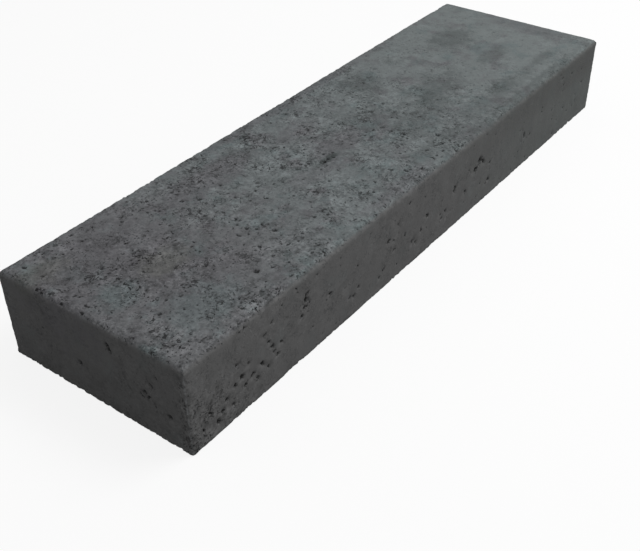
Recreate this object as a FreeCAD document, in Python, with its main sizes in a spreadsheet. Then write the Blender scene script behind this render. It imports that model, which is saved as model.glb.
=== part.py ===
"""Concrete block step: one solid cast block, laid as the tread and riser of an outdoor stair.

Frame: millimetres, +Z up. The origin is at the middle of the underside, +X runs along the step
and -Y is the side that the riser faces.
"""

import FreeCAD, Part
import os
import Sketcher

# The driving dimensions, in millimetres: alias, value and meaning.
DRIVING_DIMENSIONS = [
    ("step_length", 1200.0, "length, across the stair"),
    ("tread_depth", 350.0, "depth, from the riser face to the back face"),
    ("riser_height", 150.0, "height, from the underside to the tread"),
    ("long_edge_radius", 12.0, "rounding of the tread's two long edges"),
    ("end_edge_radius", 4.0, "rounding around the top and sides of each end"),
]

PARTS_FOLDER = "parts"
SAME_PLACE = 1e-4

# How a sketch constraint names the start and end of a line, and the sketch's own origin.
LINE_START = 1
LINE_END = 2
SKETCH_ORIGIN = (-1, 1)


def make_dimension_sheet(doc):
    """Keeps the driving dimensions in a spreadsheet, one alias for each."""
    sheet = doc.addObject("Spreadsheet::Sheet", "Dimensions")
    for row, (alias, value, meaning) in enumerate(DRIVING_DIMENSIONS, start=1):
        sheet.set(f"A{row}", alias)
        sheet.set(f"B{row}", str(value))
        sheet.set(f"C{row}", meaning)
        sheet.setAlias(f"B{row}", alias)
    doc.recompute()
    return sheet


def origin_plane(body, role):
    """The body's own origin plane with that role, such as XY_Plane."""
    return next(plane for plane in body.Origin.OriginFeatures if plane.Role == role)


def constrain_length(sketch, kind, line, name, formula):
    """Gives a line of the sketch a named length that follows a formula."""
    start_length = 100.0
    constraint = Sketcher.Constraint(kind, line, LINE_START, line, LINE_END, start_length)
    index = sketch.addConstraint(constraint)
    sketch.renameConstraint(index, name)
    sketch.setExpression(f"Constraints.{name}", formula)


def draw_footprint(body):
    """The block's rectangular footprint on the ground, centred on the origin."""
    sketch = body.newObject("Sketcher::SketchObject", "Footprint")
    sketch.AttachmentSupport = [(origin_plane(body, "XY_Plane"), "")]
    sketch.MapMode = "FlatFace"

    half = 50.0
    corners = [
        FreeCAD.Vector(x, y, 0)
        for x, y in [(-half, -half), (half, -half), (half, half), (-half, half)]
    ]
    sides = [
        sketch.addGeometry(Part.LineSegment(corners[i], corners[(i + 1) % 4]), False)
        for i in range(4)
    ]
    riser_side, right_end, back_side, left_end = sides

    for i, side in enumerate(sides):
        next_side = sides[(i + 1) % 4]
        sketch.addConstraint(
            Sketcher.Constraint("Coincident", side, LINE_END, next_side, LINE_START)
        )
    for side in (riser_side, back_side):
        sketch.addConstraint(Sketcher.Constraint("Horizontal", side))
    for end in (right_end, left_end):
        sketch.addConstraint(Sketcher.Constraint("Vertical", end))
    opposite_corners = (riser_side, LINE_START, back_side, LINE_START)
    sketch.addConstraint(
        Sketcher.Constraint("Symmetric", *opposite_corners, *SKETCH_ORIGIN)
    )
    constrain_length(sketch, "DistanceX", riser_side, "length", "Dimensions.step_length")
    constrain_length(sketch, "DistanceY", right_end, "depth", "Dimensions.tread_depth")
    return sketch


def edge_names(feature, is_wanted):
    """The names of a feature's edges that pass a test on their bounding box."""
    return [
        f"Edge{number}"
        for number, edge in enumerate(feature.Shape.Edges, start=1)
        if is_wanted(edge.BoundBox)
    ]


def round_edges(body, base, is_wanted, radius_formula, name):
    """Rounds the edges of a feature that pass a test, to the radius that a formula gives."""
    fillet = body.newObject("PartDesign::Fillet", name)
    fillet.Base = (base, edge_names(base, is_wanted))
    fillet.setExpression("Radius", radius_formula)
    body.Document.recompute()
    return fillet


def build_block_step(doc, sheet):
    """The whole block: a padded footprint, rounded along its tread and then around its ends."""
    body = doc.addObject("PartDesign::Body", "BlockStep")
    body.Label = "block_step"

    block = body.newObject("PartDesign::Pad", "Block")
    block.Profile = draw_footprint(body)
    block.setExpression("Length", "Dimensions.riser_height")
    doc.recompute()

    tread_level = sheet.riser_height
    end_distance = sheet.step_length / 2

    def is_long_tread_edge(box):
        on_tread = box.ZMin > tread_level - SAME_PLACE
        return on_tread and box.XLength > end_distance

    def is_end_outline(box):
        on_an_end = min(abs(box.XMin), abs(box.XMax)) > end_distance - SAME_PLACE
        on_base = box.ZMax < SAME_PLACE
        return on_an_end and box.XLength < SAME_PLACE and not on_base

    long_edges = round_edges(
        body, block, is_long_tread_edge, "Dimensions.long_edge_radius", "LongEdges"
    )
    round_edges(
        body, long_edges, is_end_outline, "Dimensions.end_edge_radius", "EndOutlines"
    )
    return body


def check_document(doc):
    """Stops if any object of the document failed without saying so."""
    failed = [o.Name for o in doc.Objects if {"Invalid", "Error"} & set(o.State)]
    if failed:
        raise RuntimeError(f"these objects failed to build: {failed}")


def exact_box(shape):
    """The shape's box, closed in on its surfaces where the quick one stands off a rounded corner."""
    use_triangles = False
    return shape.optimalBoundingBox(use_triangles)


def check_size(shape, sheet):
    """Stops if the solid isn't one valid block of the stated size."""
    if shape.isNull() or not shape.isValid() or len(shape.Solids) != 1:
        raise RuntimeError("the block is not one valid solid")
    box = exact_box(shape)
    stated = (sheet.step_length, sheet.tread_depth, sheet.riser_height)
    for built, wanted in zip((box.XLength, box.YLength, box.ZLength), stated):
        if abs(built - wanted) > SAME_PLACE:
            raise RuntimeError(f"the block measures {built} where {wanted} is stated")
    sharp_volume = sheet.step_length * sheet.tread_depth * sheet.riser_height
    if not shape.Volume < sharp_volume:
        raise RuntimeError("the rounded edges removed nothing from the block")


def export_parts(bodies):
    """Writes each sub-part's solid to a STEP file named after its label."""
    os.makedirs(PARTS_FOLDER, exist_ok=True)
    for body in bodies:
        body.Shape.exportStep(os.path.join(PARTS_FOLDER, f"{body.Label}.step"))


def main():
    doc = FreeCAD.newDocument("ConcreteBlockStep")
    sheet = make_dimension_sheet(doc)
    block_step = build_block_step(doc, sheet)
    check_document(doc)
    check_size(block_step.Shape, sheet)
    export_parts([block_step])
    box = exact_box(block_step.Shape)
    print(
        f"block_step: {box.XLength:.1f} x {box.YLength:.1f} x {box.ZLength:.1f} mm,"
        f" {block_step.Shape.Volume / 1e9:.5f} m3, {len(block_step.Shape.Faces)} faces"
    )


main()
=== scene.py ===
"""A cast concrete block step as it looks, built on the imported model's frame."""

import logging
import math
from collections.abc import Callable
from dataclasses import dataclass, field
from enum import Enum

import bpy
from mathutils import Matrix, Vector


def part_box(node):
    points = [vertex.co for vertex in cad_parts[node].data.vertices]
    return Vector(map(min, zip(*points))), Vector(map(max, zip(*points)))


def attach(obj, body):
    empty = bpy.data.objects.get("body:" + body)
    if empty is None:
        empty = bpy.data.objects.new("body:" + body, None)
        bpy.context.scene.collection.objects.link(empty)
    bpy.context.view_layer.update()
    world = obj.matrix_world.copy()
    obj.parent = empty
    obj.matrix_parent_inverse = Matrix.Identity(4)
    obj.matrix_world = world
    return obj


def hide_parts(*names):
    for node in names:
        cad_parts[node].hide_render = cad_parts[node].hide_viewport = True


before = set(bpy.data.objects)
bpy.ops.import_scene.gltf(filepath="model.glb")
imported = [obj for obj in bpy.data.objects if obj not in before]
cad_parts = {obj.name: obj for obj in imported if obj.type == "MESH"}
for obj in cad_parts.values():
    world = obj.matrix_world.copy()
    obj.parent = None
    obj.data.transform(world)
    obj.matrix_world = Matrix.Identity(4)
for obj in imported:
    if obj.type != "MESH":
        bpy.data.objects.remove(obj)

LOG = logging.getLogger("block_step")
MILLIMETRE = 0.001
PLACE = "cast_place"

Socket = bpy.types.NodeSocket
Colour = tuple[float, float, float]


def srgb(red: int, green: int, blue: int) -> Colour:
    """A screen colour from 0 to 255 as the linear colour that shaders use.

    Args:
        red: The red of the screen colour.
        green: Its green.
        blue: Its blue.

    Returns:
        The linear red, green and blue.
    """

    def linear(level: int) -> float:
        """One channel made linear."""
        share = level / 255
        return share / 12.92 if share <= 0.04045 else ((share + 0.055) / 1.055) ** 2.4

    return linear(red), linear(green), linear(blue)


@dataclass
class Wiring:
    """Adds nodes to one tree and joins them, for geometry and for finishes alike."""

    tree: bpy.types.NodeTree

    def add(self, kind: str, **settings: object) -> bpy.types.Node:
        """Adds a node and sets its options.

        Args:
            kind: The node's type.
            **settings: The node's own options by name.

        Returns:
            The new node.
        """
        node = self.tree.nodes.new(kind)
        for name, value in settings.items():
            setattr(node, name, value)
        return node

    def feed(self, socket: Socket, value: object) -> None:
        """Joins a socket to another one, or sets it to a plain value.

        Args:
            socket: The input that is fed.
            value: Another node's output, or a number, vector or colour.
        """
        if isinstance(value, bpy.types.NodeSocket):
            self.tree.links.new(value, socket)
        elif socket.type == "RGBA" and len(value) == 3:
            socket.default_value = (*value, 1.0)
        else:
            socket.default_value = value

    def sum(self, operation: str, *values: float | Socket, clamp: bool = False) -> Socket:
        """Works out one arithmetic step.

        Args:
            operation: The Math node's operation.
            *values: Its one to three numbers or sockets.
            clamp: Whether the result is kept from 0 to 1.

        Returns:
            The result.
        """
        node = self.add("ShaderNodeMath", operation=operation, use_clamp=clamp)
        for socket, value in zip(node.inputs, values):
            self.feed(socket, value)
        return node.outputs[0]

    def scaled(self, place: Socket, factor: Vector | tuple[float, float, float]) -> Socket:
        """Stretches a vector by a factor for each axis.

        Args:
            place: The vector.
            factor: The factors along X, Y and Z.

        Returns:
            The stretched vector.
        """
        node = self.add("ShaderNodeVectorMath", operation="MULTIPLY")
        self.feed(node.inputs[0], place)
        self.feed(node.inputs[1], factor)
        return node.outputs["Vector"]

    def axes(self, place: Socket) -> tuple[Socket, Socket, Socket]:
        """Splits a vector.

        Args:
            place: The vector.

        Returns:
            Its X, Y and Z.
        """
        node = self.add("ShaderNodeSeparateXYZ")
        self.feed(node.inputs[0], place)
        return node.outputs[0], node.outputs[1], node.outputs[2]

    def noise(
        self,
        place: Socket,
        grain: float,
        detail: float = 2.0,
        roughness: float = 0.5,
        distortion: float = 0.0,
        seed: float = 0.0,
    ) -> Socket:
        """Cloudy noise, mostly between 0.3 and 0.7.

        Args:
            place: Where it is read, in metres.
            grain: The size of its lumps, in metres.
            detail: How many finer layers it has.
            roughness: How strong the finer layers are.
            distortion: How far it is warped by itself.
            seed: Picks one such noise among many.

        Returns:
            The noise.
        """
        node = self.add("ShaderNodeTexNoise", noise_dimensions="4D")
        self.feed(node.inputs["Vector"], place)
        self.feed(node.inputs["W"], seed)
        self.feed(node.inputs["Scale"], 1 / grain)
        self.feed(node.inputs["Detail"], detail)
        self.feed(node.inputs["Roughness"], roughness)
        self.feed(node.inputs["Distortion"], distortion)
        return node.outputs[0]

    def cells(self, place: Socket, spacing: float) -> tuple[Socket, Socket, Socket]:
        """Scattered points, one for each cell of about that spacing.

        Args:
            place: Where they are read, in metres.
            spacing: The usual distance between two points, in metres.

        Returns:
            The distance to the nearest point in metres, and two random numbers of that point.
        """
        node = self.add("ShaderNodeTexVoronoi", voronoi_dimensions="3D", feature="F1")
        self.feed(node.inputs["Vector"], place)
        self.feed(node.inputs["Scale"], 1 / spacing)
        distance = self.sum("MULTIPLY", node.outputs["Distance"], spacing)
        first, second, _ = self.axes(node.outputs["Color"])
        return distance, first, second

    def warped(self, place: Socket, grain: float, reach: float, seed: float) -> Socket:
        """Pushes a place to and fro, so that what is drawn there turns out ragged.

        Args:
            place: The place, in metres.
            grain: The size of the pushes' lumps, in metres.
            reach: How far the strongest push goes, in metres.
            seed: Picks one such warp among many.

        Returns:
            The pushed place.
        """
        push = self.noise(place, grain, detail=2, roughness=0.6, seed=seed).node.outputs[1]
        centred = self.add("ShaderNodeVectorMath", operation="SUBTRACT")
        self.feed(centred.inputs[0], push)
        self.feed(centred.inputs[1], (0.5, 0.5, 0.5))
        moved = self.add("ShaderNodeVectorMath", operation="ADD")
        self.feed(moved.inputs[0], place)
        self.feed(moved.inputs[1], self.scaled(centred.outputs["Vector"], (4 * reach, 4 * reach, 4 * reach)))
        return moved.outputs["Vector"]

    def shade(self, colour: Socket, level: Socket) -> Socket:
        """Makes a colour lighter or darker.

        Args:
            colour: The colour.
            level: What it is multiplied by.

        Returns:
            The shaded colour.
        """
        node = self.add("ShaderNodeVectorMath", operation="SCALE")
        self.feed(node.inputs[0], colour)
        self.feed(node.inputs["Scale"], level)
        return node.outputs["Vector"]

    def ramp(
        self,
        value: Socket,
        start: float | Socket,
        end: float | Socket,
        low: float | Socket = 0.0,
        high: float | Socket = 1.0,
    ) -> Socket:
        """A soft step: low where the value is at start or beyond, high where it is at end.

        Args:
            value: The value that is followed.
            start: Where the step starts.
            end: Where it ends.
            low: The result at the start.
            high: The result at the end.

        Returns:
            The step's result.
        """
        node = self.add("ShaderNodeMapRange", interpolation_type="SMOOTHSTEP")
        for socket, number in zip(node.inputs, (value, start, end, low, high)):
            self.feed(socket, number)
        return node.outputs[0]

    def blend(self, share: float | Socket, first: object, second: object) -> Socket:
        """Mixes two colours.

        Args:
            share: How much of the second there is, from 0 to 1.
            first: The first colour.
            second: The second colour.

        Returns:
            The mixed colour.
        """
        node = self.add("ShaderNodeMix", data_type="RGBA", blend_type="MIX")
        self.feed(node.inputs["Factor"], share)
        self.feed(node.inputs[6], first)
        self.feed(node.inputs[7], second)
        return node.outputs[2]


class Face(Enum):
    """A face of the block that has marks of its own."""

    TREAD = "tread"
    RISER = "riser"
    NEAR_END = "near end"


class Tone(Enum):
    """A colour that patches of the tread cured to."""

    PLUM = srgb(92, 91, 94)
    TEAL = srgb(96, 106, 107)
    OLIVE = srgb(93, 94, 88)
    DARK = srgb(69, 74, 74)


@dataclass(frozen=True)
class Bubble:
    """One air bubble or lost stone that shows as a pit of its own."""

    face: Face
    along: float
    across: float
    radius: float


@dataclass(frozen=True)
class Stain:
    """One patch of the tread that cured to another tone."""

    along: float
    across: float
    length: float
    width: float
    tone: Tone
    strength: float


# Along is millimetres from the near end, or from the riser on the near end itself.
# Across is millimetres from the middle line on the tread, and up from the base on the other faces.
BUBBLES = (
    Bubble(Face.RISER, 243, 102, 5.0),
    Bubble(Face.RISER, 240, 90, 4.0),
    Bubble(Face.RISER, 246, 112, 3.5),
    Bubble(Face.RISER, 104, 62, 4.0),
    Bubble(Face.RISER, 110, 46, 4.0),
    Bubble(Face.RISER, 96, 88, 3.5),
    Bubble(Face.RISER, 125, 52, 3.5),
    Bubble(Face.RISER, 168, 70, 3.5),
    Bubble(Face.RISER, 178, 50, 3.5),
    Bubble(Face.RISER, 152, 100, 3.0),
    Bubble(Face.RISER, 62, 34, 4.0),
    Bubble(Face.RISER, 38, 48, 3.0),
    Bubble(Face.RISER, 72, 46, 3.0),
    Bubble(Face.RISER, 52, 22, 3.5),
    Bubble(Face.RISER, 84, 30, 3.0),
    Bubble(Face.RISER, 24, 30, 3.0),
    Bubble(Face.RISER, 118, 76, 3.0),
    Bubble(Face.RISER, 160, 84, 3.0),
    Bubble(Face.RISER, 172, 60, 3.0),
    Bubble(Face.RISER, 186, 66, 2.8),
    Bubble(Face.RISER, 146, 56, 3.2),
    Bubble(Face.RISER, 158, 42, 3.0),
    Bubble(Face.RISER, 134, 38, 3.0),
    Bubble(Face.RISER, 90, 58, 3.0),
    Bubble(Face.RISER, 234, 80, 3.0),
    Bubble(Face.RISER, 250, 94, 3.0),
    Bubble(Face.RISER, 300, 76, 3.0),
    Bubble(Face.RISER, 350, 40, 3.0),
    Bubble(Face.RISER, 360, 35, 2.8),
    Bubble(Face.RISER, 371, 46, 2.8),
    Bubble(Face.RISER, 428, 28, 2.8),
    Bubble(Face.RISER, 440, 36, 3.2),
    Bubble(Face.RISER, 452, 82, 3.5),
    Bubble(Face.RISER, 468, 58, 2.8),
    Bubble(Face.RISER, 520, 44, 3.2),
    Bubble(Face.RISER, 531, 37, 3.0),
    Bubble(Face.RISER, 546, 52, 2.8),
    Bubble(Face.RISER, 566, 70, 4.0),
    Bubble(Face.RISER, 612, 40, 3.0),
    Bubble(Face.RISER, 624, 48, 2.8),
    Bubble(Face.RISER, 652, 76, 4.5),
    Bubble(Face.RISER, 690, 52, 3.0),
    Bubble(Face.RISER, 722, 80, 5.5),
    Bubble(Face.RISER, 736, 92, 6.0),
    Bubble(Face.RISER, 748, 84, 4.5),
    Bubble(Face.RISER, 772, 36, 4.0),
    Bubble(Face.RISER, 905, 66, 4.0),
    Bubble(Face.NEAR_END, 136, 122, 4.5),
    Bubble(Face.NEAR_END, 134, 113, 4.0),
    Bubble(Face.NEAR_END, 62, 91, 3.5),
    Bubble(Face.NEAR_END, 76, 72, 4.0),
    Bubble(Face.NEAR_END, 70, 66, 3.0),
    Bubble(Face.NEAR_END, 84, 64, 3.0),
    Bubble(Face.NEAR_END, 34, 53, 4.0),
    Bubble(Face.NEAR_END, 60, 59, 3.0),
    Bubble(Face.NEAR_END, 52, 110, 2.5),
    Bubble(Face.NEAR_END, 202, 58, 3.0),
    Bubble(Face.NEAR_END, 270, 86, 2.5),
    Bubble(Face.TREAD, 508, -18, 3.0),
    Bubble(Face.TREAD, 498, -17, 3.0),
    Bubble(Face.TREAD, 300, -75, 3.5),
    Bubble(Face.TREAD, 678, -120, 3.5),
    Bubble(Face.TREAD, 208, -118, 3.5),
    Bubble(Face.TREAD, 768, 92, 3.0),
)

STAINS = (
    Stain(565, -2, 75, 34, Tone.PLUM, 0.7),
    Stain(505, -18, 42, 8, Tone.DARK, 0.95),
    Stain(350, 100, 120, 38, Tone.PLUM, 0.7),
    Stain(545, 78, 60, 26, Tone.PLUM, 0.5),
    Stain(450, -30, 60, 20, Tone.PLUM, 0.4),
    Stain(510, -158, 110, 16, Tone.PLUM, 0.55),
    Stain(100, 60, 150, 110, Tone.PLUM, 0.6),
    Stain(150, -70, 110, 70, Tone.PLUM, 0.5),
    Stain(60, -5, 40, 30, Tone.TEAL, 0.6),
    Stain(110, -110, 70, 45, Tone.TEAL, 0.5),
    Stain(150, 0, 45, 30, Tone.OLIVE, 0.4),
    Stain(30, 120, 50, 30, Tone.OLIVE, 0.35),
    Stain(720, -55, 95, 45, Tone.DARK, 0.35),
    Stain(835, -25, 75, 45, Tone.DARK, 0.4),
    Stain(760, 90, 45, 45, Tone.DARK, 0.4),
    Stain(650, 20, 70, 50, Tone.DARK, 0.25),
    Stain(1030, 65, 62, 42, Tone.DARK, 0.5),
    Stain(1015, -40, 50, 20, Tone.DARK, 0.4),
    Stain(905, -118, 40, 20, Tone.DARK, 0.35),
    Stain(1060, -125, 40, 14, Tone.DARK, 0.35),
    Stain(1170, -50, 30, 110, Tone.PLUM, 0.45),
    Stain(640, 158, 330, 14, Tone.PLUM, 0.5),
    Stain(900, -165, 280, 13, Tone.DARK, 0.40),
    Stain(850, -130, 180, 26, Tone.DARK, 0.28),
    Stain(650, -138, 80, 20, Tone.DARK, 0.3),
)


@dataclass(frozen=True)
class Pitting:
    """One family of pits that air bubbles and lost grains leave in the cast surface."""

    spacing: float
    radius: float
    depth: float
    share: float
    crowding: float
    seed: float

    def hollow(self, wiring: Wiring, place: Socket) -> Socket:
        """How deep the pits are at a place.

        Args:
            wiring: The tree that the pattern goes into.
            place: Where it is read, in metres.

        Returns:
            The depth as a share of the full one, from 0 outside the pits to 1 at their bottom.
        """
        ragged = wiring.noise(place, self.radius * 1.3, detail=2, seed=self.seed)
        warped = wiring.warped(place, self.radius * 2.2, self.radius * 0.9, self.seed)
        distance, luck, size_luck = wiring.cells(warped, self.spacing)
        crowd = wiring.noise(place, self.spacing * 7, detail=2, seed=self.seed + 5)
        rare, common = self.share * (1 - self.crowding), self.share * (1 + self.crowding)
        needed = wiring.ramp(crowd, 0.35, 0.65, 1 - rare, 1 - common)
        chosen = wiring.sum("GREATER_THAN", luck, needed)
        size = wiring.sum("MULTIPLY_ADD", size_luck, 0.6 * self.radius, 0.6 * self.radius)
        edge = wiring.sum("MULTIPLY", size, wiring.sum("MULTIPLY_ADD", ragged, 3.0, -0.5))
        edge = wiring.sum("MAXIMUM", edge, 0.1 * self.radius)
        inside = wiring.ramp(distance, edge, wiring.sum("MULTIPLY", edge, 0.35))
        return wiring.sum("MULTIPLY", inside, chosen)


@dataclass(frozen=True)
class CastSurface:
    """The relief of the cast block, shared by its mesh and its finish."""

    low: Vector
    high: Vector
    bubble_depth: float = 3.5 * MILLIMETRE
    tread_band: tuple[float, float] = (8 * MILLIMETRE, 1 * MILLIMETRE)
    coarse_end: float = 0.45
    fine_start: float = 0.88
    finest: float = 0.30
    side_pits: Pitting = Pitting(0.011, 0.0028, 0.0020, 0.16, 0.95, 1.0)
    tread_pits: Pitting = Pitting(0.010, 0.0034, 0.0018, 0.36, 0.85, 2.0)
    pin_holes: Pitting = Pitting(0.0055, 0.0015, 0.0010, 0.40, 0.75, 3.0)

    def spot(self, mark: Bubble | Stain) -> Vector:
        """Where the middle of a bubble or stain is.

        Args:
            mark: The bubble or stain.

        Returns:
            Its place in metres, in the frame that the block is built in.
        """
        middle = (self.low + self.high) / 2
        along, across = mark.along * MILLIMETRE, mark.across * MILLIMETRE
        face = getattr(mark, "face", Face.TREAD)
        if face is Face.RISER:
            return Vector((self.low.x + along, self.low.y, self.low.z + across))
        if face is Face.NEAR_END:
            return Vector((self.low.x, self.low.y + along, self.low.z + across))
        return Vector((self.low.x + along, middle.y + across, self.high.z))

    def face_distances(self, wiring: Wiring, place: Socket) -> list[Socket]:
        """How far a place is from the nearer end, long face and level face.

        Args:
            wiring: The tree that the pattern goes into.
            place: Where it is read, in metres.

        Returns:
            The three distances in metres.
        """
        distances = []
        for number, low, high in zip(wiring.axes(place), self.low, self.high):
            below = wiring.sum("SUBTRACT", number, low)
            above = wiring.sum("SUBTRACT", high, number)
            distances.append(wiring.sum("MINIMUM", below, above))
        return distances

    def outline_distance(self, wiring: Wiring, place: Socket) -> Socket:
        """How far a place on the surface is from the outline of the nearer end.

        Args:
            wiring: The tree that the pattern goes into.
            place: Where it is read, in metres.

        Returns:
            The distance in metres.
        """
        to_end, to_long_face, to_level_face = self.face_distances(wiring, place)
        to_side = wiring.sum("MINIMUM", to_long_face, to_level_face)
        return wiring.sum("MAXIMUM", to_end, to_side)

    def edge_distance(self, wiring: Wiring, place: Socket) -> Socket:
        """How far a place on the surface is from the block's nearest edge.

        Args:
            wiring: The tree that the pattern goes into.
            place: Where it is read, in metres.

        Returns:
            The distance in metres.
        """
        to_end, to_long_face, to_level_face = self.face_distances(wiring, place)
        nearer = wiring.sum("MINIMUM", to_end, to_long_face)
        farther = wiring.sum("MAXIMUM", to_end, to_long_face)
        return wiring.sum("MAXIMUM", nearer, wiring.sum("MINIMUM", farther, to_level_face))

    def on_tread(self, wiring: Wiring, place: Socket) -> Socket:
        """Tells the tread from the faces below it.

        Args:
            wiring: The tree that the pattern goes into.
            place: Where it is read, in metres.

        Returns:
            1 on the tread and 0 below it.
        """
        height = wiring.axes(place)[2]
        start, end = self.tread_band
        return wiring.ramp(height, self.high.z - start, self.high.z - end)

    def coarse(self, wiring: Wiring, place: Socket) -> Socket:
        """How coarse the skin is: most at the near end, least at the far one.

        Args:
            wiring: The tree that the pattern goes into.
            place: Where it is read, in metres.

        Returns:
            A share from 0 to 1.
        """
        length = self.high.x - self.low.x
        along = wiring.axes(place)[0]
        start = self.low.x + self.coarse_end * length
        end = self.low.x + self.fine_start * length
        return wiring.ramp(along, start, end, 1.0, self.finest)

    def bubbles(self, wiring: Wiring, place: Socket) -> Socket:
        """The single pits that show most.

        Args:
            wiring: The tree that the pattern goes into.
            place: Where it is read, in metres.

        Returns:
            The depth as a share of the full one, from 0 outside the pits to 1 at their bottom.
        """
        ragged = wiring.noise(place, 3.4 * MILLIMETRE, detail=3, roughness=0.7, seed=21)
        reach = wiring.sum("MAXIMUM", wiring.sum("MULTIPLY_ADD", ragged, 5.2, -1.25), 0.1)
        warped = wiring.warped(place, 7 * MILLIMETRE, 3 * MILLIMETRE, 22)
        deepest = None
        for bubble in BUBBLES:
            to_bubble = wiring.add("ShaderNodeVectorMath", operation="DISTANCE")
            wiring.feed(to_bubble.inputs[0], warped)
            wiring.feed(to_bubble.inputs[1], self.spot(bubble))
            edge = wiring.sum("MULTIPLY", reach, bubble.radius * MILLIMETRE)
            inside = wiring.sum("DIVIDE", wiring.sum("SUBTRACT", edge, to_bubble.outputs["Value"]), edge)
            deepest = inside if deepest is None else wiring.sum("MAXIMUM", deepest, inside)
        return wiring.ramp(deepest, 0.0, 0.6)

    def pits(self, wiring: Wiring, place: Socket) -> tuple[Socket, Socket]:
        """All pits that the mesh holds.

        Args:
            wiring: The tree that the pattern goes into.
            place: Where it is read, in metres.

        Returns:
            How strongly the finish paints shade into them, from 0 to 1, and how deep, in metres.
        """
        tread = self.on_tread(wiring, place)
        below = wiring.sum("SUBTRACT", 1.0, tread)
        side = wiring.sum("MULTIPLY", self.side_pits.hollow(wiring, place), below)
        top = wiring.sum("MULTIPLY", self.tread_pits.hollow(wiring, place), tread)
        top = wiring.sum("MULTIPLY", top, self.coarse(wiring, place))
        single = self.bubbles(wiring, place)
        dark = wiring.sum("MAXIMUM", wiring.sum("MAXIMUM", side, top), single)
        depth = wiring.sum("MULTIPLY", side, self.side_pits.depth)
        depth = wiring.sum("MULTIPLY_ADD", top, self.tread_pits.depth, depth)
        depth = wiring.sum("MULTIPLY_ADD", single, self.bubble_depth, depth)
        return dark, depth


def set_mode(mode: str) -> None:
    """Switches the active object to that mode."""
    bpy.ops.object.mode_set(mode=mode)


def only(piece: bpy.types.Object) -> None:
    """Makes the piece the one that is selected and active.

    Args:
        piece: The piece.
    """
    bpy.ops.object.select_all(action="DESELECT")
    piece.select_set(True)
    bpy.context.view_layer.objects.active = piece


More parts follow.
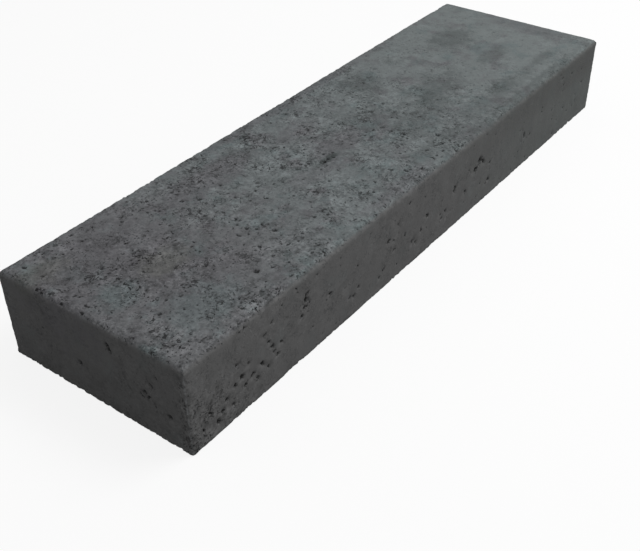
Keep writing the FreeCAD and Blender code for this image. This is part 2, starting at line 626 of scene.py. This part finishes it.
@dataclass
class BlockStep:
    """The cast block: a box with rounded edges, roughened, pitted and chipped."""

    node: str = "block_step"
    slot: str = "concrete"
    body: str = "root"
    long_edge: float = 12 * MILLIMETRE
    end_edge: float = 4 * MILLIMETRE
    bottom_edge: float = 2 * MILLIMETRE
    skin_cell: float = 2.0 * MILLIMETRE
    skin_drop: float = 0.6 * MILLIMETRE
    swell_size: float = 0.22
    swell_height: float = 1.0 * MILLIMETRE
    lump_size: float = 0.016
    lump_height: float = 0.8 * MILLIMETRE
    side_lumps: float = 0.3
    crumb_size: float = 0.0085
    chip_depth: float = 2.8 * MILLIMETRE
    most_triangles: int = 190_000
    low: Vector = field(default_factory=Vector)
    high: Vector = field(default_factory=Vector)

    def build(self) -> bpy.types.Object:
        """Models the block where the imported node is.

        Returns:
            The finished piece.
        """
        self.low, self.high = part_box(self.node)
        piece = self.add_box()
        self.round_edges(piece)
        self.refine_skin(piece)
        self.roughen(piece)
        self.thin(piece)
        return piece

    def add_box(self) -> bpy.types.Object:
        """Adds the sharp box that the block starts from.

        Returns:
            The new piece, with its place in its mesh.
        """
        bpy.ops.object.select_all(action="DESELECT")
        middle = (self.low + self.high) / 2
        size = self.high - self.low
        bpy.ops.mesh.primitive_cube_add(size=1, location=middle, scale=size)
        bpy.ops.object.transform_apply(location=True, rotation=True, scale=True)
        piece = bpy.context.object
        piece.name = "cast_block"
        return piece

    def bevel_where(
        self,
        piece: bpy.types.Object,
        wanted: Callable[[Vector, Vector], bool],
        width: float,
        steps: int,
    ) -> None:
        """Bevels the edges that pass a test.

        Args:
            piece: The piece.
            wanted: Says of an edge's two ends whether it is such an edge.
            width: The bevel's width in metres.
            steps: How many faces it is made of.
        """
        set_mode("OBJECT")
        for thing in (*piece.data.vertices, *piece.data.edges, *piece.data.polygons):
            thing.select = False
        places = [vertex.co for vertex in piece.data.vertices]
        for edge in piece.data.edges:
            edge.select = wanted(*(places[end] for end in edge.vertices))
        set_mode("EDIT")
        bpy.ops.mesh.select_mode(type="EDGE")
        bpy.ops.mesh.bevel(offset=width, offset_type="OFFSET", segments=steps, affect="EDGES")
        set_mode("OBJECT")

    def round_edges(self, piece: bpy.types.Object) -> None:
        """Rounds the tread's long edges, then the outline of each end, then the base's edges.

        Args:
            piece: The sharp box.
        """
        only(piece)
        near = 0.01 * MILLIMETRE
        middle = (self.low + self.high) / 2
        half = (self.high - self.low) / 2

        def on_long_edge(first: Vector, second: Vector) -> bool:
            """Whether an edge runs along the tread."""
            on_tread = min(first.z, second.z) > self.high.z - near
            return on_tread and abs(first.x - second.x) > half.x

        def on_end_outline(first: Vector, second: Vector) -> bool:
            """Whether an edge is on an end's outline and off the base."""
            on_end = min(abs(end.x - middle.x) for end in (first, second)) > half.x - near
            return on_end and max(first.z, second.z) > self.low.z + near

        def on_base(first: Vector, second: Vector) -> bool:
            """Whether an edge is on the base's outline."""
            return max(first.z, second.z) < self.low.z + near

        self.bevel_where(piece, on_long_edge, self.long_edge, 8)
        self.bevel_where(piece, on_end_outline, self.end_edge, 4)
        self.bevel_where(piece, on_base, self.bottom_edge, 2)

    def apply_modifier(self, piece: bpy.types.Object, name: str, kind: str, **settings: object) -> None:
        """Adds a modifier, sets it and applies it.

        Args:
            piece: The piece.
            name: The modifier's name.
            kind: Its type.
            **settings: Its own options by name.
        """
        only(piece)
        modifier = piece.modifiers.new(name, kind)
        for option, value in settings.items():
            setattr(modifier, option, value)
        bpy.ops.object.modifier_apply(modifier=name)

    def refine_skin(self, piece: bpy.types.Object) -> None:
        """Lays an even, fine net of faces over the block.

        Args:
            piece: The rounded box.
        """
        self.apply_modifier(piece, "even_skin", "REMESH", mode="VOXEL", voxel_size=self.skin_cell)

    def relief(self) -> bpy.types.NodeTree:
        """The relief as geometry nodes.

        Returns:
            The tree that moves each point of the skin in or out.
        """
        surface = CastSurface(self.low, self.high)
        tree = bpy.data.node_groups.new("cast_relief", "GeometryNodeTree")
        tree.interface.new_socket("Geometry", in_out="INPUT", socket_type="NodeSocketGeometry")
        tree.interface.new_socket("Geometry", in_out="OUTPUT", socket_type="NodeSocketGeometry")
        wiring = Wiring(tree)
        incoming = wiring.add("NodeGroupInput")
        outgoing = wiring.add("NodeGroupOutput")
        place = wiring.add("GeometryNodeInputPosition").outputs[0]
        normal = wiring.add("GeometryNodeInputNormal").outputs[0]

        keep = wiring.add("GeometryNodeStoreNamedAttribute", data_type="FLOAT_VECTOR", domain="POINT")
        wiring.feed(keep.inputs["Geometry"], incoming.outputs[0])
        wiring.feed(keep.inputs["Name"], PLACE)
        wiring.feed(keep.inputs["Value"], place)

        def centred(noise: Socket, height: float) -> Socket:
            """Noise about 0 with that height each way."""
            return wiring.sum("MULTIPLY", wiring.sum("SUBTRACT", noise, 0.5), 2 * height)

        swell = centred(wiring.noise(place, self.swell_size, detail=1, seed=4), self.swell_height)
        lumps = wiring.noise(place, self.lump_size, detail=3, roughness=0.6, seed=6)
        lumpy = wiring.ramp(surface.on_tread(wiring, place), 0, 1, self.side_lumps, 1.0)
        rough = wiring.sum("MULTIPLY", centred(lumps, self.lump_height), lumpy)
        off_floor = wiring.ramp(wiring.axes(place)[2], self.low.z, self.low.z + 12 * MILLIMETRE)
        uneven = wiring.sum("SUBTRACT", wiring.sum("ADD", swell, rough), self.skin_drop)
        uneven = wiring.sum("MULTIPLY", uneven, off_floor)
        total = wiring.sum("SUBTRACT", uneven, surface.pits(wiring, place)[1])
        total = wiring.sum("SUBTRACT", total, self.chips(wiring, surface, place))
        shift = wiring.add("ShaderNodeVectorMath", operation="SCALE")
        wiring.feed(shift.inputs[0], normal)
        wiring.feed(shift.inputs["Scale"], total)
        move = wiring.add("GeometryNodeSetPosition")
        wiring.feed(move.inputs["Geometry"], keep.outputs["Geometry"])
        wiring.feed(move.inputs["Offset"], shift.outputs["Vector"])
        wiring.feed(outgoing.inputs[0], move.outputs["Geometry"])
        return tree

    def chips(self, wiring: Wiring, surface: CastSurface, place: Socket) -> Socket:
        """How deep the edges have crumbled: the ends' outlines, the base's foot and the nosings.

        Args:
            wiring: The tree that the pattern goes into.
            surface: The relief's other patterns.
            place: Where it is read, in metres.

        Returns:
            The depth in metres.
        """
        along, _, height = wiring.axes(place)
        outline = surface.outline_distance(wiring, place)
        arris = wiring.ramp(outline, 5 * MILLIMETRE, 1.5 * MILLIMETRE, 0.0, 0.8)
        foot = wiring.ramp(height, self.low.z + 7 * MILLIMETRE, self.low.z + 1 * MILLIMETRE)
        patchy = wiring.ramp(wiring.noise(place, 0.09, detail=2, seed=9), 0.38, 0.68, 0.12, 0.85)
        edge = wiring.sum("MAXIMUM", arris, wiring.sum("MULTIPLY", foot, patchy))

        _, to_long_face, to_level_face = surface.face_distances(wiring, place)
        to_nosing = wiring.sum("MAXIMUM", to_long_face, to_level_face)
        nosing = wiring.ramp(to_nosing, self.long_edge, 4 * MILLIMETRE, 0.0, 0.75)
        upper = wiring.sum("GREATER_THAN", height, (self.low.z + self.high.z) / 2)
        beyond_near_end = wiring.ramp(along, self.low.x + 0.02, self.low.x + 0.22, 0.15, 1.0)
        nosing = wiring.sum("MULTIPLY", wiring.sum("MULTIPLY", nosing, upper), beyond_near_end)

        crumbled = wiring.noise(place, self.crumb_size, detail=3, roughness=0.65, seed=8)
        depth = wiring.ramp(crumbled, 0.42, 0.68, 0.0, self.chip_depth)
        return wiring.sum("MULTIPLY", wiring.sum("MAXIMUM", edge, nosing), depth)

    def roughen(self, piece: bpy.types.Object) -> None:
        """Gives the skin its unevenness, its pits and its crumbled edges.

        Args:
            piece: The block with its fine skin.
        """
        self.apply_modifier(piece, "cast_relief", "NODES", node_group=self.relief())

    def thin(self, piece: bpy.types.Object) -> None:
        """Drops the faces that the relief doesn't need.

        Args:
            piece: The roughened block.
        """
        triangles = sum(len(face.vertices) - 2 for face in piece.data.polygons)
        share = min(1.0, self.most_triangles / triangles)
        self.apply_modifier(piece, "thin_skin", "DECIMATE", ratio=share)
        only(piece)
        bpy.ops.object.shade_smooth()
        LOG.info("skin: %d triangles, thinned to %d", triangles, len(piece.data.polygons))

    def dress(self, piece: bpy.types.Object, finish: "CastConcrete") -> None:
        """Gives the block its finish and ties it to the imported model.

        Args:
            piece: The finished block.
            finish: The concrete.
        """
        piece.data.materials.clear()
        piece.data.materials.append(finish.material())
        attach(piece, self.body)
        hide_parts(self.node)


@dataclass(frozen=True)
class CastConcrete:
    """Charcoal concrete: mottled, matt, with pale grains, and with shade painted into its pits, along its
    foot and under its nosing.
    """

    surface: CastSurface
    end: Colour = srgb(95, 95, 95)
    riser: Colour = srgb(101, 101, 101)
    riser_far: Colour = srgb(99, 102, 101)
    # Painted shade: the riser darkens to this colour in a band just under the rounded nosing.
    painted_nosing_shade: Colour = srgb(90, 91, 90)
    near: Colour = srgb(101, 102, 104)
    middle: Colour = srgb(104, 109, 110)
    far: Colour = srgb(111, 117, 117)
    # The dark colour of the flecks, also used as painted shade in the pits and pin holes and along the foot.
    pit: Colour = srgb(28, 29, 29)
    pale: Colour = srgb(146, 148, 150)
    near_busy: float = 1.2
    rim_busy: float = 0.20
    side_busy: float = 0.30
    corner_busy: float = 0.7
    quiet_size: float = 0.07
    cloud_size: float = 0.0095
    run_contrast: float = 0.045
    fleck_dark: float = 0.74
    # How strongly painted shade darkens the pits and pin holes towards the pit colour.
    painted_pit_shade: float = 0.85
    # How strongly painted shade darkens the foot towards the pit colour.
    painted_foot_shade: float = 0.6
    roughness: tuple[float, float] = (0.78, 0.95)
    specular: float = 0.25

    def plain_tone(self, wiring: Wiring, place: Socket, tread: Socket) -> Socket:
        """The colour under all marks: it pales and turns from plum to slate along the tread, and the riser
        gets a painted shade under the nosing.

        Args:
            wiring: The tree that the pattern goes into.
            place: Where it is read, in metres.
            tread: 1 on the tread and 0 below it.

        Returns:
            The colour.
        """
        low, high = self.surface.low, self.surface.high
        along = wiring.axes(place)[0]
        drift = wiring.noise(place, 0.12, detail=4, roughness=0.6, seed=31)
        shifted = wiring.sum("MULTIPLY_ADD", drift, 0.5, wiring.sum("SUBTRACT", along, 0.25))
        length = high.x - low.x
        first = wiring.ramp(shifted, low.x + 0.08 * length, low.x + 0.35 * length)
        second = wiring.ramp(shifted, low.x + 0.45 * length, low.x + 0.95 * length)
        top = wiring.blend(second, wiring.blend(first, self.near, self.middle), self.far)
        long_face = wiring.blend(second, self.riser, self.riser_far)
        to_end, to_long_face, _ = self.surface.face_distances(wiring, place)
        off_end = wiring.ramp(wiring.sum("SUBTRACT", to_end, to_long_face), -MILLIMETRE, MILLIMETRE)
        height = wiring.axes(place)[2]
        # Painted shade: a band of the riser just under the rounded nosing is darkened, strongest towards the
        # far end.
        under = wiring.ramp(height, high.z - 85 * MILLIMETRE, high.z - 35 * MILLIMETRE, 0.0, 0.9)
        long_face = wiring.blend(wiring.sum("MULTIPLY", under, second), long_face, self.painted_nosing_shade)
        side = wiring.blend(off_end, self.end, long_face)
        return wiring.blend(tread, side, top)

    def stain(self, wiring: Wiring, place: Socket, colour: Socket) -> Socket:
        """Lays the stains over a colour.

        Args:
            wiring: The tree that the pattern goes into.
            place: Where it is read, in metres.
            colour: The colour under them.

        Returns:
            The stained colour.
        """
        break_up = wiring.noise(place, 0.022, detail=5, roughness=0.72, seed=33)
        for mark in STAINS:
            offset = wiring.add("ShaderNodeVectorMath", operation="SUBTRACT")
            wiring.feed(offset.inputs[0], place)
            wiring.feed(offset.inputs[1], self.surface.spot(mark))
            across = 1 / (mark.width * MILLIMETRE)
            scaled = wiring.scaled(offset.outputs["Vector"], (1 / (mark.length * MILLIMETRE), across, across))
            reach = wiring.add("ShaderNodeVectorMath", operation="LENGTH")
            wiring.feed(reach.inputs[0], scaled)
            beyond = wiring.sum("ADD", reach.outputs["Value"], 1.2)
            cloudy = wiring.sum("MULTIPLY_ADD", break_up, -2.4, beyond)
            share = wiring.ramp(cloudy, 1.25, 0.45, 0.0, mark.strength)
            colour = wiring.blend(share, colour, mark.tone.value)
        return colour

    def mottle(self, wiring: Wiring, place: Socket, tread: Socket, colour: Socket) -> Socket:
        """Adds the patches of plum and teal that run all over the tread.

        Args:
            wiring: The tree that the pattern goes into.
            place: Where it is read, in metres.
            tread: 1 on the tread and 0 below it.
            colour: The colour under them.

        Returns:
            The mottled colour.
        """
        most = wiring.ramp(tread, 0, 1, 0.12, 0.7)
        for tone, seed in ((Tone.PLUM, 41), (Tone.TEAL, 42)):
            patches = wiring.noise(place, 0.045, detail=6, roughness=0.68, seed=seed)
            share = wiring.sum("MULTIPLY", wiring.ramp(patches, 0.50, 0.66), most)
            colour = wiring.blend(share, colour, tone.value)
        return colour

    def busyness(self, wiring: Wiring, place: Socket, tread: Socket) -> Socket:
        """How strongly grain and flecks show: most at the near end, by edges and at the low near corner.

        Args:
            wiring: The tree that the pattern goes into.
            place: Where it is read, in metres.
            tread: 1 on the tread and 0 below it.

        Returns:
            A share that is 1 on the plain tread.
        """
        low, high = self.surface.low, self.surface.high
        along, across, height = wiring.axes(place)
        nearest = wiring.ramp(along, low.x, low.x + 0.30 * (high.x - low.x), self.near_busy, 1.0)
        busy = wiring.sum("MULTIPLY", self.surface.coarse(wiring, place), nearest)
        quiet = wiring.noise(place, self.quiet_size, detail=3, roughness=0.6, seed=59)
        busy = wiring.sum("MULTIPLY", busy, wiring.ramp(quiet, 0.38, 0.60, 0.45, 1.05))
        to_edge = self.surface.edge_distance(wiring, place)
        rim = wiring.ramp(to_edge, 16 * MILLIMETRE, 5 * MILLIMETRE, 0.0, self.rim_busy)
        by_face = wiring.ramp(tread, 0, 1, self.side_busy, 1.0)
        busy = wiring.sum("MULTIPLY", wiring.sum("ADD", busy, rim), by_face)
        off_corner = wiring.sum("ADD", along, height)
        worn = wiring.ramp(off_corner, low.x + 0.20, low.x + 0.06, 0.0, self.corner_busy)
        by_riser = wiring.ramp(across, low.y + 0.030, low.y + 0.004)
        return wiring.sum("MULTIPLY_ADD", worn, by_riser, busy)

    def grain(self, wiring: Wiring, place: Socket, tread: Socket, busy: Socket, cloud: Socket) -> Socket:
        """The light and dark of the grain, and of the faint runs down the sides.

        Args:
            wiring: The tree that the pattern goes into.
            place: Where it is read, in metres.
            tread: 1 on the tread and 0 below it.
            busy: How strongly the grain shows.
            cloud: The noise of the middle-sized lumps.

        Returns:
            What the colour is multiplied by.
        """
        clump = wiring.noise(place, 0.024, detail=3, roughness=0.6, seed=50)
        grain = wiring.noise(place, 0.0036, detail=2, roughness=0.6, seed=52)
        light = None
        for noise, contrast in ((clump, 0.26), (cloud, 0.36), (grain, 0.30)):
            part = wiring.ramp(noise, 0.25, 0.75, -contrast, contrast)
            light = part if light is None else wiring.sum("ADD", light, part)
        light = wiring.sum("MULTIPLY_ADD", light, busy, 1.0)
        stretched = wiring.scaled(place, (1.0, 1.0, 0.3))
        runs = wiring.noise(stretched, 0.020, detail=4, roughness=0.6, seed=57)
        run = wiring.ramp(runs, 0.3, 0.7, -self.run_contrast, self.run_contrast)
        return wiring.sum("ADD", light, wiring.sum("MULTIPLY", run, wiring.sum("SUBTRACT", 1.0, tread)))

    def flecks(self, wiring: Wiring, place: Socket, busy: Socket) -> Socket:
        """The short dark marks in the skin, gathered in flocks.

        Args:
            wiring: The tree that the pattern goes into.
            place: Where it is read, in metres.
            busy: How strongly they show.

        Returns:
            How dark they are, from 0 outside them.
        """
        flock = wiring.noise(place, 0.035, detail=3, roughness=0.6, seed=54)
        bar = wiring.ramp(flock, 0.35, 0.65, 0.70, 0.57)
        fleck = None
        for size, seed in ((0.0072, 53), (0.0040, 58)):
            spots = wiring.noise(place, size, detail=2, roughness=0.55, distortion=0.8, seed=seed)
            found = wiring.ramp(wiring.sum("SUBTRACT", spots, bar), 0.0, 0.032)
            fleck = found if fleck is None else wiring.sum("MAXIMUM", fleck, found)
        return wiring.sum("MULTIPLY", fleck, busy)

    def wear_and_foot_shade(
        self,
        wiring: Wiring,
        place: Socket,
        busy: Socket,
        cloud: Socket,
        colour: Socket,
    ) -> tuple[Socket, Socket]:
        """Adds the pale crumbs, the rubbed edges of the ends and a painted shade along the foot.

        Args:
            wiring: The tree that the pattern goes into.
            place: Where it is read, in metres.
            busy: How strongly the crumbs show.
            cloud: The noise of the middle-sized lumps.
            colour: The colour under them.

        Returns:
            The worn colour with the painted foot shade, and where the crumbs are.
        """
        base = self.surface.low.z
        height = wiring.axes(place)[2]
        arris = wiring.ramp(self.surface.outline_distance(wiring, place), 4 * MILLIMETRE, 1.6 * MILLIMETRE)
        arris = wiring.sum("MULTIPLY", arris, wiring.ramp(height, base, base + 10 * MILLIMETRE))
        crumb = wiring.ramp(wiring.noise(place, 0.0042, detail=2, roughness=0.5, seed=55), 0.60, 0.68)
        on_skin = wiring.sum("MULTIPLY", busy, 0.30)
        amount = wiring.sum("MAXIMUM", on_skin, wiring.sum("MULTIPLY", arris, 0.6))
        colour = wiring.blend(wiring.sum("MULTIPLY", crumb, amount), colour, self.pale)
        rubbed = wiring.sum("MULTIPLY", arris, wiring.ramp(cloud, 0.35, 0.65, 0.10, 0.50))
        colour = wiring.blend(rubbed, colour, self.pale)
        # Painted shade: the last few millimetres above the base darken towards the pit colour, where the
        # surface turns under.
        foot = wiring.ramp(height, base + 4 * MILLIMETRE, base + 1 * MILLIMETRE)
        return wiring.blend(wiring.sum("MULTIPLY", foot, self.painted_foot_shade), colour, self.pit), crumb

    def bump(self, wiring: Wiring, place: Socket, pin: Socket, fleck: Socket, crumb: Socket) -> Socket:
        """The relief that is too fine for the mesh.

        Args:
            wiring: The tree that the pattern goes into.
            place: Where it is read, in metres.
            pin: Where the pin holes are.
            fleck: Where the flecks are.
            crumb: Where the crumbs are.

        Returns:
            The normal.
        """
        sand = wiring.noise(place, 0.0022, detail=2, roughness=0.6, seed=56)
        height = wiring.sum("MULTIPLY", sand, 0.22 * MILLIMETRE)
        height = wiring.sum("MULTIPLY_ADD", pin, -self.surface.pin_holes.depth, height)
        height = wiring.sum("MULTIPLY_ADD", fleck, -0.7 * MILLIMETRE, height)
        height = wiring.sum("MULTIPLY_ADD", crumb, 0.25 * MILLIMETRE, height)
        bump = wiring.add("ShaderNodeBump")
        wiring.feed(bump.inputs["Height"], height)
        wiring.feed(bump.inputs["Distance"], 1.0)
        return bump.outputs[0]

    def material(self) -> bpy.types.Material:
        """Makes the finish.

        Returns:
            The material.
        """
        material = bpy.data.materials.new("cast_concrete")
        material.use_nodes = True
        material.node_tree.nodes.clear()
        wiring = Wiring(material.node_tree)
        place = wiring.add("ShaderNodeAttribute", attribute_name=PLACE).outputs["Vector"]
        tread = self.surface.on_tread(wiring, place)
        busy = self.busyness(wiring, place, tread)
        cloud = wiring.noise(place, self.cloud_size, detail=3, roughness=0.6, seed=51)

        colour = self.plain_tone(wiring, place, tread)
        colour = self.mottle(wiring, place, tread, colour)
        colour = self.stain(wiring, place, colour)
        colour = wiring.shade(colour, self.grain(wiring, place, tread, busy, cloud))
        fleck = self.flecks(wiring, place, busy)
        colour = wiring.blend(wiring.sum("MULTIPLY", fleck, self.fleck_dark), colour, self.pit)
        colour, crumb = self.wear_and_foot_shade(wiring, place, busy, cloud, colour)

        # Painted shade: the pits and pin holes are darkened towards the pit colour, as shade in these
        # hollows.
        dark, _ = self.surface.pits(wiring, place)
        pin = self.surface.pin_holes.hollow(wiring, place)
        pin = wiring.sum("MULTIPLY", pin, wiring.sum("MAXIMUM", busy, 0.3))
        pit_shade_mask = wiring.sum("MAXIMUM", dark, wiring.sum("MULTIPLY", pin, 0.8))
        colour = wiring.blend(wiring.sum("MULTIPLY", pit_shade_mask, self.painted_pit_shade), colour, self.pit)

        shader = wiring.add("ShaderNodeBsdfPrincipled")
        wiring.feed(shader.inputs["Base Color"], colour)
        wiring.feed(shader.inputs["Roughness"], wiring.ramp(cloud, 0.3, 0.7, *self.roughness))
        wiring.feed(shader.inputs["Specular IOR Level"], self.specular)
        wiring.feed(shader.inputs["Normal"], self.bump(wiring, place, pin, fleck, crumb))
        out = wiring.add("ShaderNodeOutputMaterial")
        wiring.feed(out.inputs["Surface"], shader.outputs[0])
        return material


@dataclass(frozen=True)
class PaleFloor:
    """A plain floor that reads as white paper and still takes a soft shadow."""

    seen: float = 0.95
    glow_share: float = 0.86
    unseen: Colour = (0.35, 0.35, 0.35)

    def material(self) -> bpy.types.Material:
        """Makes the finish.

        Returns:
            The material.
        """
        material = bpy.data.materials.new("pale_floor")
        material.use_nodes = True
        material.node_tree.nodes.clear()
        wiring = Wiring(material.node_tree)
        rays = wiring.add("ShaderNodeLightPath")
        lit = wiring.add("ShaderNodeBsdfDiffuse")
        wiring.feed(lit.inputs["Color"], (self.seen, self.seen, self.seen))
        glow = wiring.add("ShaderNodeEmission")
        wiring.feed(glow.inputs["Color"], (1.0, 1.0, 1.0))
        paper = wiring.add("ShaderNodeMixShader")
        wiring.feed(paper.inputs[0], self.glow_share)
        wiring.feed(paper.inputs[1], lit.outputs[0])
        wiring.feed(paper.inputs[2], glow.outputs[0])
        dull = wiring.add("ShaderNodeBsdfDiffuse")
        wiring.feed(dull.inputs["Color"], self.unseen)
        both = wiring.add("ShaderNodeMixShader")
        wiring.feed(both.inputs[0], rays.outputs["Is Camera Ray"])
        wiring.feed(both.inputs[1], dull.outputs[0])
        wiring.feed(both.inputs[2], paper.outputs[0])
        out = wiring.add("ShaderNodeOutputMaterial")
        wiring.feed(out.inputs["Surface"], both.outputs[0])
        return material


@dataclass
class Studio:
    """The floor, the light and the camera."""

    floor_side: float = 30.0
    sky: float = 0.42
    key_power: float = 66.0
    key_side: float = 1.6
    key_from: Vector = field(default_factory=lambda: Vector((1.25, -1.25, 2.85)))
    azimuth: float = -142.77
    elevation: float = 36.96
    roll: float = -0.88
    distance: float = 1.434
    aim: Vector = field(default_factory=lambda: Vector((-0.2657, -0.1301, 0.070)))
    focal_length: float = 54.23

    def add_floor(self) -> None:
        """Lays the floor under the block."""
        bpy.ops.object.select_all(action="DESELECT")
        bpy.ops.mesh.primitive_plane_add(size=self.floor_side, location=(0, 0, 0))
        floor = bpy.context.object
        floor.name = "floor"
        floor.data.materials.append(PaleFloor().material())

    def add_light(self) -> None:
        """Adds one broad lamp over the riser side, and an even pale sky."""
        lamp = bpy.data.lights.new("key", "AREA")
        lamp.shape = "SQUARE"
        lamp.size = self.key_side
        lamp.energy = self.key_power
        key = bpy.data.objects.new("key", lamp)
        key.location = self.key_from
        key.rotation_euler = (-self.key_from).to_track_quat("-Z", "Y").to_euler()
        bpy.context.scene.collection.objects.link(key)

        world = bpy.data.worlds.new("sky")
        bpy.context.scene.world = world
        world.use_nodes = True
        world.node_tree.nodes.clear()
        wiring = Wiring(world.node_tree)
        rays = wiring.add("ShaderNodeLightPath")
        strength = wiring.ramp(rays.outputs["Is Camera Ray"], 0, 1, self.sky, 1.0)
        sky = wiring.add("ShaderNodeBackground")
        wiring.feed(sky.inputs["Color"], (1.0, 1.0, 1.0))
        wiring.feed(sky.inputs["Strength"], strength)
        out = wiring.add("ShaderNodeOutputWorld")
        wiring.feed(out.inputs["Surface"], sky.outputs[0])

    def add_camera(self) -> None:
        """Stands the camera off the near corner, looking down along the block."""
        lens = bpy.data.cameras.new("camera")
        lens.lens = self.focal_length
        lens.sensor_width = 36.0
        lens.clip_start = 0.01
        camera = bpy.data.objects.new("camera", lens)
        bpy.context.scene.collection.objects.link(camera)
        azimuth, elevation = math.radians(self.azimuth), math.radians(self.elevation)
        back = Vector((
            math.cos(elevation) * math.cos(azimuth),
            math.cos(elevation) * math.sin(azimuth),
            math.sin(elevation),
        ))
        turn = back.to_track_quat("Z", "Y").to_matrix().to_4x4()
        tilt = Matrix.Rotation(math.radians(self.roll), 4, "Z")
        camera.matrix_world = Matrix.Translation(self.aim + back * self.distance) @ turn @ tilt
        bpy.context.scene.camera = camera

    def set_view(self) -> None:
        """Shows colours as they are written."""
        bpy.context.scene.view_settings.view_transform = "Standard"

    def build(self) -> None:
        """Sets up the whole studio."""
        self.add_floor()
        self.add_light()
        self.add_camera()
        self.set_view()


def main() -> None:
    """Builds the block and its studio."""
    logging.basicConfig(level=logging.INFO, format="%(name)s: %(message)s")
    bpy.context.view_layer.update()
    block = BlockStep()
    piece = block.build()
    block.dress(piece, CastConcrete(CastSurface(block.low, block.high)))
    LOG.info("built %s", piece.name)
    Studio().build()


if __name__ == "__main__":
    main()
